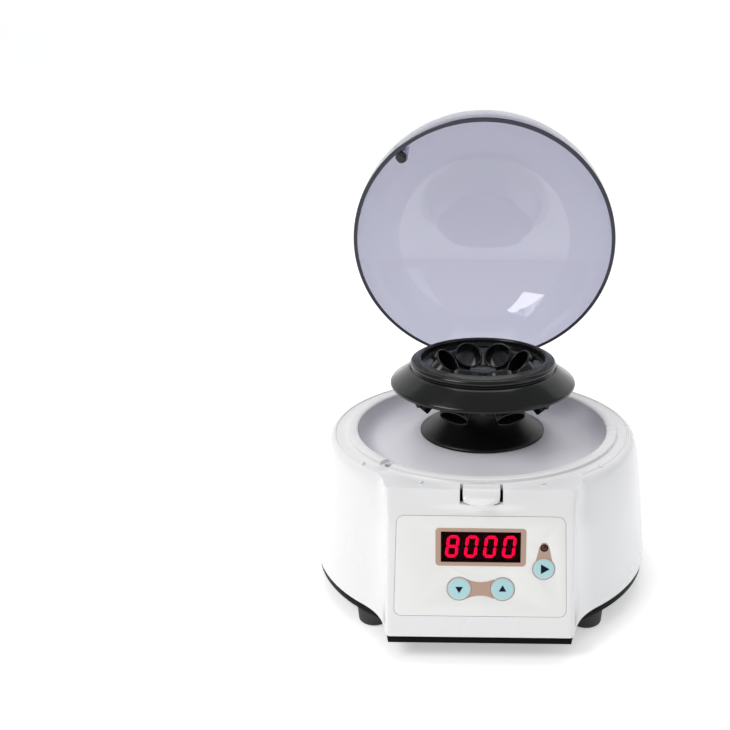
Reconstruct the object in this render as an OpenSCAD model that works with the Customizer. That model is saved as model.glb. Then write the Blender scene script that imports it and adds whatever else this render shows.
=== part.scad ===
// Mini laboratory centrifuge with a clear dome lid and an eight-place tube rotor.
// Z is up and the front is toward -Y. The origin is on the rotor's axis at the level of the bench.

/* [Housing] */
// Radius of the round housing where it meets the base tray
body_r = 78.6; // [74:0.2:86]
// Radius of the housing at the start of its shoulder
shoulder_r = 74.3; // [70:0.1:78]
// Height of the start of the shoulder
shoulder_z = 50; // [44:1:56]
// Outer radius of the ledge that the lid closes on
ledge_r = 68.3; // [67:0.1:72]
// Height of the ledge
ledge_z = 71; // [66:0.5:80]
// Inner radius of the raised ring round the bowl
bowl_r = 57; // [52:0.5:60]
// Outer radius of the raised ring
ring_r = 61.7; // [61:0.1:64]
// Height of the raised ring above the ledge
ring_h = 1.5; // [1:0.1:3]
// Wall thickness of the housing
wall = 2.5; // [2:0.1:3.2]
// Height of the joint between housing and base tray
part_z = 12; // [10:0.5:15]

/* [Console] */
// Width of the console face along its lower edge
console_w = 76; // [70:1:84]
// Width of the console face along its upper edge
console_top_w = 69; // [62:0.5:76]
// Distance from the rotor's axis to the lower edge of the face
console_y = 82.9; // [80:0.1:95]
// Height of the face, measured along its slope
face_h = 52; // [48:0.5:54]
// Angle that the face leans back
face_lean = 12.7; // [8:0.1:20]
// Width and height of the display window
window_size = [31.6, 12.4]; // [10:0.1:40]
// Height of the display's centre up the face
window_v = 38; // [35:0.5:39]
// Radius of the two speed keys
key_r = 4.8; // [4:0.1:5.5]
// Radius of the start key
start_r = 4.4; // [4:0.1:5]
// Travel of a key
key_travel = 0.4; // [0.2:0.05:0.6]

/* [Lid] */
// Outer radius of the lid's rim
lid_r = 64.1; // [63:0.1:66.5]
// Height of the dome above its rim
dome_h = 52.5; // [45:0.5:60]
// Wall thickness of the dome
lid_wall = 1.9; // [1.5:0.1:2.5]
// Angle between the closed lid and the open one
lid_swing = 73; // [60:1:85]
// Distance from the rotor's axis to the hinge pin
hinge_y = 76; // [75:0.5:82]
// Height of the hinge pin
hinge_z = 67; // [64:0.5:75]
// Radius of the hinge pin
pin_r = 1.5; // [1.2:0.1:2]

/* [Rotor] */
// Number of tube places
places = 8; // [6:2:12]
// Radius of a tube bore
bore_r = 5.6; // [3:0.1:5.8]
// Radius of the circle of bore mouths
pitch_r = 17.6; // [17:0.1:20]
// Radius of the rotor's rolled rim at its crest
crest_r = 29.3; // [28:0.1:31]
// Height of the crest
crest_z = 105; // [103:0.5:108]
// Radius of the skirt's lower edge
skirt_r = 41.7; // [39:0.1:44]
// Radius of the motor shaft
shaft_r = 1.6; // [1.5:0.1:2.5]

/* [Motor] */
// Radius of the motor's can
motor_r = 18; // [15:0.5:20]
// Height of the motor's mounting plate above the bench
plate_z = 57; // [54:0.5:59]
// Radius of the shroud's foot
shroud_r = 28.6; // [26:0.1:31]

/* [Base] */
// Radius of a rubber foot
foot_r = 7.5; // [6:0.5:9]
// Height of a rubber foot
foot_h = 8.6; // [7:0.2:9]
// Radius of the circle of feet
foot_circle_r = 70; // [66:0.5:71]

/* [Hidden] */

$fn = 96;
gap = 0.3;          // clearance between pieces that move past each other
fit = 0.1;          // clearance between pieces that are only assembled
eps = 0.01;         // overlap that joins two shapes of one solid
hull_fn = 32;

// Heights that follow from the driving ones
ring_z = ledge_z + ring_h;
tray_floor = 2.1;
tray_z = foot_h;
inner_floor_z = tray_z + tray_floor;
deck_z = ledge_z - 1.6;
deck_t = 2.2;
trough_z = deck_z - 4.6;
lid_gap = 0.2;
lid_z = ledge_z + lid_gap;
shroud_top_z = 84;
shroud_neck_r = 17.6;

// Functions for outlines
function polar(r, a) = [r * cos(a), r * sin(a)];
function arc(c, r, a0, a1, n) = [for (i = [0:n]) c + polar(r, a0 + (a1 - a0) * i / n)];
function bulge(r, h, power, n) =
    [for (i = [0:n]) let (a = 90 * i / n) [r * pow(cos(a), 2 / power), h * pow(sin(a), 2 / power)]];

// Turn a place given as an angle round the axis, counted from the front toward +X
module at_angle(a, r) { rotate([0, 0, a - 90]) translate([r, 0, 0]) children(); }

// Local frame of the console's face: X across, Y up the slope, Z outward
module on_face(u = 0, v = 0, w = 0) {
    translate([0, -console_y, part_z]) rotate([90 - face_lean, 0, 0]) translate([u, v, w]) children();
}

module rounded(size, r) {
    hull() for (x = [-1, 1], y = [-1, 1])
        translate([x * (size.x / 2 - r), y * (size.y / 2 - r)]) circle(r, $fn = hull_fn);
}

module bar(length, r) { rotate([0, 90, 0]) cylinder(h = length, r = r, center = true); }

// ---- housing ----

// Outline of the round housing, drawn in by an inset for its inner surface
module body_outline(inset) {
    edge = 1.6;
    polygon(concat(
        [[0, part_z - (inset > 0 ? 1 : 0)], [body_r - inset, part_z - (inset > 0 ? 1 : 0)]],
        [[shoulder_r - inset, shoulder_z], [shoulder_r - 1.6 - inset, shoulder_z + 9]],
        [[ledge_r + 1.5 - inset, ledge_z - edge]],
        arc([ledge_r - inset, ledge_z - edge - inset], edge, 20, 90, 4),
        [[0, ledge_z - inset]]));
}

// The wedge that carries the face, from the sloping plate back into the round shell
module console_block(inset) {
    low = inset > 0 ? part_z - 1 : part_z;
    roof = ledge_z - 2.4 - inset;
    hull() {
        on_face(0, 0, -inset - 0.5) linear_extrude(0.5)
            polygon([[-console_w / 2 + inset, low - part_z], [console_w / 2 - inset, low - part_z],
                [console_top_w / 2 - inset, face_h - inset], [-console_top_w / 2 + inset, face_h - inset]]);
        intersection() {
            translate([0, 0, low]) cylinder(h = roof - low, r1 = body_r - 6 - inset, r2 = ledge_r - inset - 0.5,
                $fn = 2 * hull_fn);
            translate([-console_w / 2 - 5 + inset, -body_r, low])
                cube([console_w + 10 - 2 * inset, body_r - 30, roof - low]);
        }
    }
}

module shell_solid(inset) {
    rotate_extrude() body_outline(inset);
    console_block(inset);
}

hinge_block_w = 40;
knuckle_w = 24;
knuckle_r = 4;
heel_r = 8.4;
ear_r = 5.4;

// Block at the back that carries the two ears of the hinge
module hinge_block() {
    low = hinge_z - heel_r - 5;
    difference() {
        translate([-hinge_block_w / 2, shoulder_r - 6, low])
            cube([hinge_block_w, hinge_y - shoulder_r + 6 + ear_r, hinge_z - low]);
        translate([0, 0, part_z]) cylinder(h = ledge_z, r = shoulder_r - 4);
    }
    translate([0, hinge_y, hinge_z]) difference() {
        bar(hinge_block_w, ear_r);
        translate([-hinge_block_w, -2 * ear_r - ear_r, -ear_r]) cube([2 * hinge_block_w, 2 * ear_r, 2 * ear_r]);
    }
}

module hinge_pocket() {
    pocket_r = heel_r + gap;
    translate([0, hinge_y, hinge_z]) {
        intersection() {
            bar(knuckle_w + 2 * gap, pocket_r);
            translate([-knuckle_w, -knuckle_r - 7 * gap, -heel_r + gap])
                cube([2 * knuckle_w, 3 * heel_r, 3 * heel_r]);
        }
        bar(hinge_block_w + 2, pin_r + 0.02);
    }
}

slot_x = 7.95;
slot_w = 1.15;
tongue_root_y = 62;
tongue_tip_y = 70.6;
lip_curve_r = 9;
tongue_low_z = ledge_z - 4.1;
tongue_drop = 0.55;      // room below the lip for it to be pressed

module tongue_window() {
    translate([-slot_x - slot_w / 2, -console_y, tongue_low_z - gap - tongue_drop])
        cube([2 * slot_x + slot_w, console_y - tongue_root_y + 3 * gap, 20]);
}

striker_angle = -40.5;
switch_r = 59.4;
switch_z = ledge_z - wall - 13;
striker_r = 1.6;
notch_w = 6;
case_screw_angles = [62, 118, -62, -118];
case_screw_r = 62;
case_post_r = 4.2;
screw_r = 1.5;
face_posts = [[-29, 14], [29, 14], [-29, 44], [29, 44]];
board_w = -9.2;     // front of the display board, below the face
board_t = 1.6;
overlay_t = 0.5;
overlay_top_w = 66.6;
overlay_low_w = 69.6;
overlay_low_v = 9;
overlay_high_v = 50.6;
start_place = [25.2, 29.3];
lamp_place = [25.2, 38];
down_place = [-8.5, 20.6];
up_place = [8.9, 20.6];
keys = [[start_place, start_r], [down_place, key_r], [up_place, key_r]];
stem_r = 1.5;
key_low = 0.5;           // depth of a key's underside below the face
inlet_z = 29;
inlet_angle = 146;
inlet_flat = 12;
jack_r = 3.2;
inlet_pin_r = 1;
rocker_angle = 214;
rocker_size = [13, 19];
rear_r = body_r - 9;     // flats that the inlet and the rocker sit on
vent_angles = [-14, -7, 0, 7, 14];

module overlay_outline(grow) {
    offset(r = 3 + grow, $fn = hull_fn) polygon([
        [-overlay_low_w / 2 + 3, overlay_low_v + 3], [overlay_low_w / 2 - 3, overlay_low_v + 3],
        [overlay_top_w / 2 - 3, overlay_high_v - 3], [-overlay_top_w / 2 + 3, overlay_high_v - 3]]);
}

module face_cuts() {
    on_face(0, 0, -overlay_t - fit) linear_extrude(3) overlay_outline(0.15);
    on_face(0, window_v, -2 * wall) linear_extrude(4 * wall) square(window_size + [0.8, 2.4], center = true);
    on_face(lamp_place.x, lamp_place.y, -3 * wall) cylinder(h = 4 * wall, r = 1.7);
    for (k = keys) on_face(k[0].x, k[0].y) {
        translate([0, 0, -key_low - key_travel - gap]) cylinder(h = 3, r = k[1] + gap);
        translate([0, 0, -3 * wall]) cylinder(h = 4 * wall, r = stem_r + gap);
    }
}

// Recess with a flat floor at the back, and the wall that is left round it
module rear_flat(a, w, h) {
    at_angle(a, rear_r) translate([0, -w / 2, inlet_z - h / 2]) cube([12, w, h]);
}
module rear_pad(a, w, h) {
    at_angle(a, rear_r - 2) translate([0, -w / 2 - 2, inlet_z - h / 2 - 2]) cube([12, w + 4, h + 4]);
}

module upper_housing() {
    color("white") difference() {
        union() {
            difference() {
                shell_solid(0);
                difference() {
                    shell_solid(wall);
                    // posts for the screws that come up through the tray
                    for (a = case_screw_angles) at_angle(a, case_screw_r)
                        translate([0, 0, part_z + 3.4]) cylinder(h = ledge_z, r = case_post_r);
                    for (p = face_posts) on_face(p.x, p.y, board_w) cylinder(h = 12, r = 3);
                    rear_pad(inlet_angle, inlet_flat, inlet_flat);
                    rear_pad(rocker_angle, rocker_size.x + 3, rocker_size.y + 3);
                    // rib that the lid switch is fixed to
                    at_angle(striker_angle, switch_r + 3.1) translate([0, -5, switch_z]) cube([3, 10, 30]);
                }
                translate([0, 0, trough_z]) cylinder(h = ledge_z, r = bowl_r);
            }
            // ring that stands up inside the lid's rim, carried down as a collar for the deck
            difference() {
                translate([0, 0, deck_z - 2]) rotate_extrude() polygon(concat(
                    [[bowl_r, 0], [bowl_r + 2.2, 0], [bowl_r + 2.2, 1], [ring_r, 1]],
                    [[ring_r, ring_z - deck_z + 2 - 0.5], [ring_r - 0.5, ring_z - deck_z + 2]],
                    [[bowl_r + 0.6, ring_z - deck_z + 2], [bowl_r, ring_z - deck_z + 2 - 0.6]]));
                at_angle(striker_angle, bowl_r - 2) translate([0, -notch_w / 2, ledge_z]) cube([10, notch_w, 9]);
            }
            // small ribs that centre the closed lid
            for (a = [-48.5, -21.5, 21.5, 48.5]) at_angle(a, lid_r + 2.3)
                translate([0, 0, ledge_z - 1]) cylinder(h = 1.9, r = 0.9, $fn = 16);
            hinge_block();
        }
        face_cuts();
        hinge_pocket();
        tongue_window();
        // flat joint with the base tray
        translate([0, 0, part_z - 2 * wall]) cylinder(h = 2 * wall, r = 2 * body_r);
        for (a = case_screw_angles) at_angle(a, case_screw_r)
            translate([0, 0, part_z]) cylinder(h = 14, r = screw_r + 0.02);
        for (p = face_posts) on_face(p.x, p.y, board_w - 1) cylinder(h = 7, r = 1, $fn = 24);
        // seats of the power inlet and the rocker switch, and the air vents
        at_angle(striker_angle, switch_r) translate([0, 0, switch_z]) cylinder(h = 30, r = striker_r + 0.4);
        rear_flat(inlet_angle, inlet_flat, inlet_flat);
        at_angle(inlet_angle, body_r - 20) translate([0, 0, inlet_z]) rotate([0, 90, 0]) cylinder(h = 30, r = 4.6);
        rear_flat(rocker_angle, rocker_size.x + 3, rocker_size.y + 3);
        at_angle(rocker_angle, body_r - 20) translate([0, -rocker_size.x / 2, inlet_z - rocker_size.y / 2])
            cube([30, rocker_size.x, rocker_size.y]);
        for (a = vent_angles) at_angle(180 + a, body_r - 9)
            translate([0, -1, 20]) cube([12, 2, 22]);
    }
}

module bowl_deck() {
    top = [[12, deck_z], [shroud_r + 1.6, deck_z], [shroud_r + 6, deck_z - 0.9], [bowl_r - 11, trough_z + 0.5]];
    curve = arc([bowl_r - 7 - fit, trough_z + 7], 7, -90, 0, 8);
    color([0.80, 0.79, 0.84]) difference() {
        union() {
            rotate_extrude() polygon(concat(top, curve,
                [[bowl_r - fit, trough_z + 3], [bowl_r - 4, trough_z - deck_t + 0.6]],
                [[bowl_r - 7, trough_z - deck_t], [bowl_r - 12, trough_z - deck_t]],
                [[shroud_r + 6, deck_z - deck_t - 0.9], [shroud_r, deck_z - deck_t], [12, deck_z - deck_t]]));
            for (a = mount_angles) at_angle(a, mount_circle_r)
                translate([0, 0, boss_z]) cylinder(h = deck_z - deck_t - boss_z + eps, r = 4.4);
        }
        for (a = mount_angles) at_angle(a, mount_circle_r)
            translate([0, 0, boss_z - 1]) cylinder(h = 6, r = screw_r + 0.02);
        for (a = shroud_screw_angles) at_angle(a, shroud_screw_r)
            translate([0, 0, deck_z - 5]) cylinder(h = 9, r = screw_r + 0.2);
    }
}

// ---- base ----
foot_angles = [41.5, 138.5, -41.5, -138.5];
board_z = 17;
board_size = [60, 22];
board_y = 34.5;
board_holes = [[-27, 26.5], [27, 26.5], [-27, 42.5], [27, 42.5]];

// Outline of the round body with the console. The front is drawn in further by lean_room.
module tray_outline(inset, lean_room = 0) {
    front = inset + lean_room - console_y;
    circle(body_r - inset);
    polygon([[-console_w / 2 - 5 + inset, -60], [-console_w / 2 + inset, front],
        [console_w / 2 - inset, front], [console_w / 2 + 5 - inset, -60]]);
}
tray_lip_h = 3;
lip_lean = tray_lip_h * tan(face_lean) + fit;

module base_tray() {
    color([0.06, 0.06, 0.07]) difference() {
        union() {
            translate([0, 0, tray_z]) linear_extrude(part_z - tray_z) tray_outline(0.6);
            // lip that fits inside the housing
            translate([0, 0, part_z - eps]) linear_extrude(tray_lip_h) tray_outline(wall + 1, lip_lean);
        }
        translate([0, 0, inner_floor_z]) linear_extrude(10) tray_outline(wall + 2.6, lip_lean);
        for (a = foot_angles) at_angle(a, foot_circle_r)
            translate([0, 0, tray_z - 1]) cylinder(h = 20, r = screw_r + 0.02);
        for (a = case_screw_angles) at_angle(a, case_screw_r) {
            translate([0, 0, tray_z - 1]) cylinder(h = 20, r = screw_r + 0.2);
            translate([0, 0, tray_z - 1]) cylinder(h = 2.4, r = 3.4);
        }
        // air slots under the motor
        for (i = [-3:3]) translate([i * 7 - 1.25, -22, tray_z - 1]) cube([2.5, 32, 6]);
    }
    color([0.06, 0.06, 0.07]) for (p = board_holes) translate([p.x, p.y, inner_floor_z - eps])
        difference() {
            cylinder(h = board_z - inner_floor_z + eps, r = 2.8);
            translate([0, 0, 1]) cylinder(h = 10, r = 1, $fn = 24);
        }
}

module rubber_feet() {
    color([0.03, 0.03, 0.03]) for (a = foot_angles) at_angle(a, foot_circle_r) rotate_extrude()
        polygon(concat([[3.3, 0], [foot_r - 1.4, 0]], arc([foot_r - 1.4, 1.4], 1, -90, 0, 4),
            [[foot_r, foot_h - eps], [screw_r + 0.1, foot_h - eps], [screw_r + 0.1, 5], [3.3, 5]]));
}

module screw(length, head_r, head_h) {
    translate([0, 0, -head_h]) difference() {
        cylinder(h = head_h, r = head_r, $fn = 32);
        translate([-head_r * 0.6, -0.3, -eps]) cube([head_r * 1.2, 0.6, 0.7]);
        translate([-0.3, -head_r * 0.6, -eps]) cube([0.6, head_r * 1.2, 0.7]);
    }
    translate([0, 0, -eps]) cylinder(h = length, r = screw_r, $fn = 32);
}

module foot_screws() {
    color("silver") for (a = foot_angles) at_angle(a, foot_circle_r)
        translate([0, 0, 5 - eps]) screw(tray_z + tray_floor - 5, 2.9, 1.8);
}

module case_screws() {
    color("silver") for (a = case_screw_angles) at_angle(a, case_screw_r)
        translate([0, 0, tray_z + 1.4 - eps]) screw(13, 3, 1.3);
}

module hinge_pin() {
    color("silver") translate([0, hinge_y, hinge_z]) bar(hinge_block_w - 1, pin_r);
}

// ---- motor ----
mount_angles = [30, 150, 270];
mount_circle_r = 23.6;
plate_t = 1.6;
boss_z = plate_z + 4.6;
motor_low_z = 17;
can_top_z = plate_z - fit;
nose_r = 6.5;
nose_h = 3;
shroud_screw_angles = [90, 210, 330];
shroud_screw_r = shroud_r - 7.6;

module motor_shroud() {
    t = 1.6;
    lip = 1;
    rise = shroud_top_z - deck_z - lip;
    n = 12;
    outer = [for (i = [0:n]) let (s = i / n)
        [shroud_neck_r + (shroud_r - shroud_neck_r) * pow(1 - s, 2.2), lip + rise * s]];
    inner = [for (i = [0:n]) let (p = outer[n - i]) [p.x - t, p.y - (i == 0 ? 0 : t * 0.5)]];
    color([0.05, 0.05, 0.05]) translate([0, 0, deck_z + eps]) {
        rotate_extrude() polygon(concat([[shroud_r, 0]], outer, inner, [[shroud_r - t, 0]]));
        for (a = shroud_screw_angles) at_angle(a, shroud_screw_r) difference() {
            union() {
                cylinder(h = 4, r = 2.6);
                translate([0, -1, 0]) cube([6.2, 2, 1.6]);
            }
            translate([0, 0, -1]) cylinder(h = 4.4, r = screw_r + 0.02);
        }
    }
}

module shroud_screws() {
    color("silver") for (a = shroud_screw_angles) at_angle(a, shroud_screw_r)
        translate([0, 0, deck_z - deck_t - eps]) screw(deck_t + 3, 2.8, 1.6);
}

module motor_plate() {
    color("silver") translate([0, 0, plate_z]) difference() {
        cylinder(h = plate_t, r = mount_circle_r + 6);
        translate([0, 0, -1]) cylinder(h = 4, r = nose_r + 0.2);
        for (a = mount_angles) at_angle(a, mount_circle_r) translate([0, 0, -1]) cylinder(h = 4, r = 3.6);
        for (a = [0, 180]) at_angle(a, 12.5) translate([0, 0, -1]) cylinder(h = 4, r = screw_r + 0.2);
    }
}

module rubber_mounts() {
    color([0.1, 0.1, 0.1]) for (a = mount_angles) at_angle(a, mount_circle_r)
        translate([0, 0, plate_z - 3]) rotate_extrude() polygon([[screw_r + 0.3, 0], [5.4, 0],
            [5.4, 3 - eps], [3.5, 3 - eps], [3.5, 3 + plate_t + eps], [5.4, 3 + plate_t + eps],
            [5.4, boss_z - plate_z + 3 - eps], [screw_r + 0.3, boss_z - plate_z + 3 - eps]]);
}

module mount_screws() {
    color("silver") for (a = mount_angles) at_angle(a, mount_circle_r)
        translate([0, 0, plate_z - 3 - eps]) screw(boss_z - plate_z + 3 + 4.4, 4.4, 1.8);
}

module motor_can() {
    color([0.7, 0.7, 0.72]) difference() {
        union() {
            translate([0, 0, motor_low_z]) cylinder(h = can_top_z - motor_low_z, r = motor_r);
            translate([0, 0, can_top_z - eps]) cylinder(h = nose_h, r = nose_r);
        }
        translate([0, 0, motor_low_z - 1]) cylinder(h = can_top_z - motor_low_z - 0.6, r = motor_r - 1.4);
        translate([0, 0, can_top_z - 5]) cylinder(h = 10, r = 3.5);
        for (a = [0, 180]) at_angle(a, 12.5) translate([0, 0, can_top_z - 5]) cylinder(h = 6, r = screw_r + 0.02);
    }
}

module motor_end_cap() {
    color([0.12, 0.12, 0.12]) translate([0, 0, motor_low_z - 2]) difference() {
        union() {
            cylinder(h = 2 - eps, r = motor_r - 0.5);
            cylinder(h = 5, r = motor_r - 1.5);
        }
        translate([0, 0, 2]) cylinder(h = 5, r = motor_r - 4);
        translate([0, 0, -1]) cylinder(h = 5, r = 3.5);
        for (x = [-1, 1]) translate([x * 11 - 1.6, -0.5, -1]) cube([3.2, 1, 6]);
    }
}

module motor_terminals() {
    color("gold") for (x = [-1, 1]) translate([x * 11 - 1.5, -0.4, motor_low_z - 4.4]) difference() {
        cube([3, 0.8, 6.6]);
        translate([1.5, -1, 1.2]) rotate([-90, 0, 0]) cylinder(h = 3, r = 0.5, $fn = 24);
    }
}

module motor_bearings() {
    color([0.72, 0.55, 0.3]) for (z = [motor_low_z - 2, can_top_z - 1])
        translate([0, 0, z + 0.02]) difference() {
            cylinder(h = nose_h - 0.1, r = 3.48);
            translate([0, 0, -1]) cylinder(h = 6, r = shaft_r + 0.03);
        }
}

module motor_magnets() {
    color([0.25, 0.25, 0.27]) for (a = [0, 180]) rotate([0, 0, a - 62])
        translate([0, 0, motor_low_z + 8]) rotate_extrude(angle = 124)
            translate([motor_r - 4.8, 0]) square([3.3, can_top_z - motor_low_z - 14]);
}

module motor_screws() {
    color("silver") for (a = [0, 180]) at_angle(a, 12.5)
        translate([0, 0, plate_z + plate_t + eps]) mirror([0, 0, 1]) screw(plate_t + 2.4, 2.8, 1.6);
}

module motor_shaft() {
    color("silver") translate([0, 0, motor_low_z - 2]) cylinder(h = hub_top_z - motor_low_z + 2 - 8, r = shaft_r);
}

module armature() {
    stack = can_top_z - motor_low_z - 16;
    color([0.6, 0.35, 0.2]) translate([0, 0, motor_low_z + 9]) {
        difference() {
            cylinder(h = stack, r = motor_r - 5.4);
            for (i = [0:4]) rotate([0, 0, i * 72]) translate([6, -1, -1]) cube([20, 2, stack + 2]);
            translate([0, 0, -1]) cylinder(h = stack + 2, r = shaft_r + 0.01);
        }
        translate([0, 0, -4 - eps]) difference() {
            cylinder(h = 4 + 2 * eps, r = 4);
            translate([0, 0, -1]) cylinder(h = 6, r = shaft_r + 0.01);
        }
    }
}

// ---- console parts ----
module keypad_overlay() {
    color([0.9, 0.9, 0.89]) on_face(0, 0, -overlay_t) difference() {
        linear_extrude(overlay_t) overlay_outline(0);
        translate([-window_size.x / 2 - 0.1, window_v - window_size.y / 2 - 0.1, -1])
            cube([window_size.x + 0.2, window_size.y + 0.2, 3]);
        translate([lamp_place.x, lamp_place.y, -1]) cylinder(h = 3, r = 1.7);
        for (k = keys) translate([k[0].x, k[0].y, -1]) cylinder(h = 3, r = k[1] + 0.2);
    }
}

module display_frame() {
    band = 2.2;
    color([0.75, 0.63, 0.54]) on_face(0, window_v, eps) difference() {
        linear_extrude(0.12) rounded(window_size + [2 * band, 1.4 * band], 1.6);
        translate([-window_size.x / 2 - 0.1, -window_size.y / 2 - 0.1, -1])
            cube([window_size.x + 0.2, window_size.y + 0.2, 3]);
    }
}

module display_window() {
    color([0.25, 0, 0.02]) on_face(-window_size.x / 2, window_v - window_size.y / 2, -overlay_t)
        cube([window_size.x, window_size.y, overlay_t]);
}

digit_h = 9.1;
digit_w = 5;
digit_pitch = 7.55;
stroke = 1.15;
slant = 7;
reading = [[1, 1, 1, 1, 1, 1, 1], [1, 1, 1, 1, 1, 1, 0], [1, 1, 1, 1, 1, 1, 0], [1, 1, 1, 1, 1, 1, 0]];
// Middle of each segment and whether it lies flat: top, right pair, bottom, left pair, middle
segments = [[[0, 1], true], [[1, 0.5], false], [[1, -0.5], false], [[0, -1], true],
    [[-1, -0.5], false], [[-1, 0.5], false], [[0, 0], true]];

module segment(flat, length) {
    rotate([0, 0, flat ? 0 : 90]) polygon([[-length / 2, 0], [-length / 2 + stroke / 2, stroke / 2],
        [length / 2 - stroke / 2, stroke / 2], [length / 2, 0],
        [length / 2 - stroke / 2, -stroke / 2], [-length / 2 + stroke / 2, -stroke / 2]]);
}

module display_digits() {
    half = [(digit_w - stroke) / 2, (digit_h - stroke) / 2];
    color([0.95, 0.1, 0.25]) on_face(0, window_v, module_w + eps)
        for (d = [0:3], s = [0:6]) if (reading[d][s] == 1)
            translate([(d - 1.5) * digit_pitch + segments[s][0].x * half.x
                    + tan(slant) * segments[s][0].y * half.y, segments[s][0].y * half.y, 0])
                linear_extrude(0.15) rotate([0, 0, segments[s][1] ? 0 : -slant])
                    segment(segments[s][1], (segments[s][1] ? digit_w - stroke : half.y) - 0.25);
}

module_w = -0.95;
module display_module() {
    depth = 6.4;
    color([0.1, 0.1, 0.1]) on_face(-window_size.x / 2 + 0.6, window_v - 7, module_w - depth) difference() {
        cube([window_size.x - 1.2, 14, depth]);
        translate([1, 1, -1]) cube([window_size.x - 3.2, 12, 2]);
    }
    color("silver") for (i = [0:5], v = [-5, 5])
        on_face((i - 2.5) * 2.54, window_v + v, module_w - depth + 0.9)
            mirror([0, 0, 1]) cylinder(h = -board_w + module_w - depth + 2.9, r = 0.25, $fn = 16);
}

module display_board() {
    color([0.05, 0.35, 0.15]) on_face(0, 29, board_w - board_t) difference() {
        translate([-32, -19, 0]) cube([64, 38, board_t - 0.02]);
        for (p = face_posts) translate([p.x, p.y - 29, -1]) cylinder(h = 4, r = 1.2, $fn = 24);
        for (i = [0:5], v = [-5, 5]) translate([(i - 2.5) * 2.54, window_v - 29 + v, -1])
            cylinder(h = 4, r = 0.35, $fn = 16);
        translate([lamp_place.x, lamp_place.y - 29, -1]) cylinder(h = 4, r = 1.7);
    }
}

module key_switches() {
    color([0.15, 0.15, 0.15]) for (k = keys) on_face(k[0].x, k[0].y, board_w) difference() {
        translate([-3, -3, 0]) cube([6, 6, 3.5]);
        translate([0, 0, 2]) cylinder(h = 3, r = stem_r + gap);
    }
}

module status_lamp() {
    color([0.4, 0.02, 0.02]) on_face(lamp_place.x, lamp_place.y) {
        translate([0, 0, board_w - 0.6]) cylinder(h = -board_w - 0.5, r = 1.5);
        translate([0, 0, -1.1 - eps]) intersection() {
            sphere(1.5, $fn = 48);
            cylinder(h = 2, r = 2);
        }
    }
}

module display_screws() {
    color("silver") for (p = face_posts) on_face(p.x, p.y, board_w - board_t - 1.1) {
        cylinder(h = 1.1 - eps, r = 2, $fn = 24);
        cylinder(h = board_t + 5, r = 0.95, $fn = 24);
    }
}

module key(place, r) {
    on_face(place.x, place.y) {
        translate([0, 0, -key_low]) rotate_extrude()
            polygon([[0, 0], [r, 0], [r, 0.6], [r - 0.35, 0.85], [0, 0.85]]);
        translate([0, 0, board_w + 3.2]) cylinder(h = -board_w - 3.6, r = stem_r);
    }
}

module mark(place, turn, r) {
    on_face(place.x, place.y, 0.35) rotate([0, 0, turn]) linear_extrude(0.08)
        polygon([for (a = [90, 210, 330]) polar(r, a)]);
}

key_colour = [0.68, 0.84, 0.86];
mark_colour = [0.05, 0.2, 0.25];
module start_key() { color(key_colour) key(start_place, start_r); }
module start_mark() { color(mark_colour) mark(start_place, -90, 2.3); }
module down_key() { color(key_colour) key(down_place, key_r); }
module down_mark() { color(mark_colour) mark(down_place, 180, 1.75); }
module up_key() { color(key_colour) key(up_place, key_r); }
module up_mark() { color(mark_colour) mark(up_place, 0, 1.75); }

// ---- electronics on the tray ----
module main_board() {
    color([0.05, 0.35, 0.15]) translate([-board_size.x / 2, board_y - board_size.y / 2, board_z + 0.02])
        difference() {
            cube([board_size.x, board_size.y, 1.6]);
            for (p = board_holes) translate([p.x + board_size.x / 2, p.y - board_y + board_size.y / 2, -1])
                cylinder(h = 4, r = 1.2, $fn = 24);
        }
}

board_top_z = board_z + 1.64;
module capacitors() {
    color([0.1, 0.12, 0.3]) for (c = [[-17, 38, 5, 14], [-5, 39, 4, 11], [4, 40, 3, 8]])
        translate([c[0], c[1], board_top_z]) difference() {
            cylinder(h = c[3], r = c[2], $fn = 48);
            translate([0, 0, c[3] - 0.3]) cylinder(h = 1, r = c[2] - 0.8, $fn = 48);
        }
}

module power_transistor() {
    color([0.2, 0.2, 0.22]) translate([11, 35, board_top_z]) {
        for (i = [0:4]) translate([0, i * 2, 0]) cube([12, 1, 12]);
        cube([12, 9, 2]);
        translate([1, -4.4, 3]) cube([10, 4.4 + eps, 9]);
    }
}

headers = [[-18, 27], [-6, 27], [6, 27], [18, 27]];
module wire_headers() {
    color([0.9, 0.88, 0.8]) for (p = headers)
        translate([p.x - 4, p.y - 2.5, board_top_z]) difference() {
            cube([8, 5, 7]);
            translate([0.8, 0.8, 3]) cube([6.4, 3.4, 5]);
        }
}

module board_screws() {
    color("silver") for (p = board_holes) translate([p.x, p.y, board_top_z]) mirror([0, 0, 1]) {
        translate([0, 0, -1.2]) cylinder(h = 1.2, r = 2.1, $fn = 24);
        cylinder(h = 5, r = 0.95, $fn = 24);
    }
}

// ---- lid switch ----
striker_low = ledge_z - 1;
plunger_low = switch_z + 5.2;
module lid_switch() {
    color([0.12, 0.12, 0.12]) at_angle(striker_angle, switch_r) translate([-3, -5, switch_z]) difference() {
        cube([6, 10, 7.6]);
        translate([3, 5, 4]) cylinder(h = 8, r = 1.6, $fn = 32);
    }
}

module switch_plunger() {
    color([0.7, 0.1, 0.1]) at_angle(striker_angle, switch_r)
        translate([0, 0, plunger_low]) cylinder(h = striker_low - gap - plunger_low, r = 1.3, $fn = 32);
}

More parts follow.
